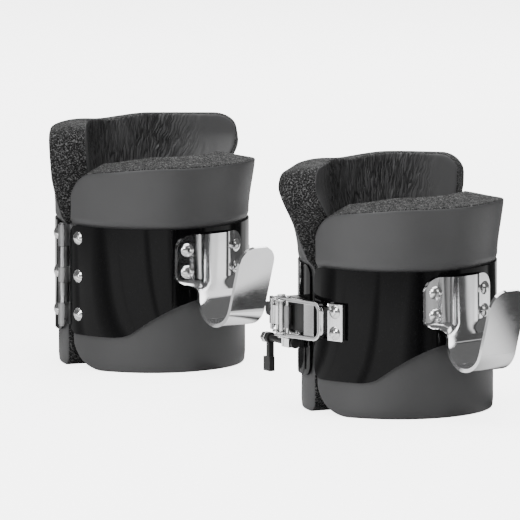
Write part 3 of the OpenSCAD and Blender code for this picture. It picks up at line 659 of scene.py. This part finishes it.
def make_pads():
    """The four pads, each riding on its own half of a boot."""
    for boot in BOOTS.values():
        for part in ("front", "rear"):
            pad = Pad(boot, part)
            piece = pad.build()
            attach(piece, f"{boot.side}_{part}")
            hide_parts(pad.node)


# ---------- camera, floor and light ----------

AZIMUTH = -38.8
ELEVATION = 8.0
DISTANCE = 9.0
FRAME_WIDTH = 0.423
AIM = Vector((-0.006, 0.0375, 0.1))


def aim_at(thing, target):
    """Turns a camera or a light towards a point."""
    thing.rotation_mode = "QUATERNION"
    thing.rotation_quaternion = (target - thing.location).to_track_quat("-Z", "Y")


def make_camera():
    """A long lens at the front left, a little above the boots."""
    data = bpy.data.cameras.new("camera")
    camera = bpy.data.objects.new("camera", data)
    bpy.context.scene.collection.objects.link(camera)
    turn, rise = math.radians(AZIMUTH), math.radians(ELEVATION)
    back = Vector((math.sin(turn) * math.cos(rise), -math.cos(turn) * math.cos(rise), math.sin(rise)))
    camera.location = AIM + back * DISTANCE
    aim_at(camera, AIM)
    data.sensor_width = 36
    data.lens = data.sensor_width * DISTANCE / FRAME_WIDTH
    data.clip_start = 0.1
    data.clip_end = 60
    bpy.context.scene.camera = camera


def soft_box(name, place, target, width, height, power):
    """One rectangular soft light."""
    data = bpy.data.lights.new(name, "AREA")
    data.shape = "RECTANGLE"
    data.size = width
    data.size_y = height
    data.energy = power
    light = bpy.data.objects.new(name, data)
    bpy.context.scene.collection.objects.link(light)
    light.location = place
    aim_at(light, target)


def make_floor():
    """A wide pale floor that glows evenly for camera rays. Glossy rays alone see it darkened in streaks and
    far off, which paints streaked reflections and highlights on the enamel and chrome.
    """
    bpy.ops.mesh.primitive_plane_add(size=30)
    floor = bpy.context.object
    floor.name = "floor"
    pale, painted_reflection_dark, unlit, glowing = [(level,) * 3 for level in (0.9, 0.02, 0.0, 4.0)]
    finish = Finish("pale floor", pale, roughness=0.9)
    tree = finish.tree
    place = tree.node("ShaderNodeTexCoord").outputs["Object"]
    away = tree.node("ShaderNodeVectorMath", {0: place}, operation="LENGTH").outputs["Value"]
    around = tree.node("ShaderNodeTexGradient", {"Vector": place}, gradient_type="RADIAL").outputs["Fac"]
    streaks = tree.node("ShaderNodeTexNoise", {"W": around, "Scale": 11.0, "Detail": 1.0},
                        noise_dimensions="1D").outputs["Fac"]
    # painted reflection: glossy rays alone see the floor dark in these streaks and far from the boots,
    # drawing streaked highlights on the shells and hooks
    painted_reflection_dimming = tree.maths("MAXIMUM", tree.ramp(streaks, 0.54, 0.42), tree.ramp(away, 0.7, 1.4))
    rays = tree.node("ShaderNodeLightPath").outputs
    finish.tones(tree.maths("MULTIPLY", rays["Is Glossy Ray"], painted_reflection_dimming), pale, painted_reflection_dark)
    finish.join(finish.between(rays["Is Camera Ray"], unlit, glowing), "Emission Color")
    finish.set("Emission Strength", 1.0)
    floor.data.materials.append(finish.material)


def make_light():
    """Soft boxes and narrow strips round the boots, under a plain surround."""
    middle = Vector((0, 0.03, 0.09))
    soft_box("key", Vector((-1.9, -0.9, 1.5)), middle, 0.9, 1.2, 30)
    soft_box("strip", Vector((-2.2, -0.15, 0.35)), middle, 0.07, 1.2, 9)
    soft_box("front", Vector((0.6, -2.2, 1.1)), middle, 1.0, 1.0, 6)
    soft_box("top", Vector((0, 0, 2.2)), middle, 2.2, 2.2, 60)
    soft_box("back", Vector((1.6, 1.6, 1.2)), middle, 1.2, 1.2, 24)
    world = bpy.data.worlds.new("surround")
    bpy.context.scene.world = world
    world.use_nodes = True
    tree = Tree(world.node_tree)
    world.node_tree.nodes.clear()
    rays = tree.node("ShaderNodeLightPath").outputs
    seen = tree.node("ShaderNodeBackground", {"Color": (1, 1, 1, 1), "Strength": 1.0})
    felt = tree.node("ShaderNodeBackground", {"Color": (1, 1, 1, 1), "Strength": 0.7})
    mirrored = tree.node("ShaderNodeBackground", {"Color": (1, 1, 1, 1), "Strength": 0.15})
    lit = tree.node("ShaderNodeMixShader", {0: rays["Is Glossy Ray"], 1: felt.outputs[0],
                                            2: mirrored.outputs[0]})
    both = tree.node("ShaderNodeMixShader", {0: rays["Is Camera Ray"], 1: lit.outputs[0],
                                             2: seen.outputs[0]})
    tree.node("ShaderNodeOutputWorld", {"Surface": both.outputs[0]})


finish_nodes()
make_pads()
make_camera()
make_floor()
make_light()
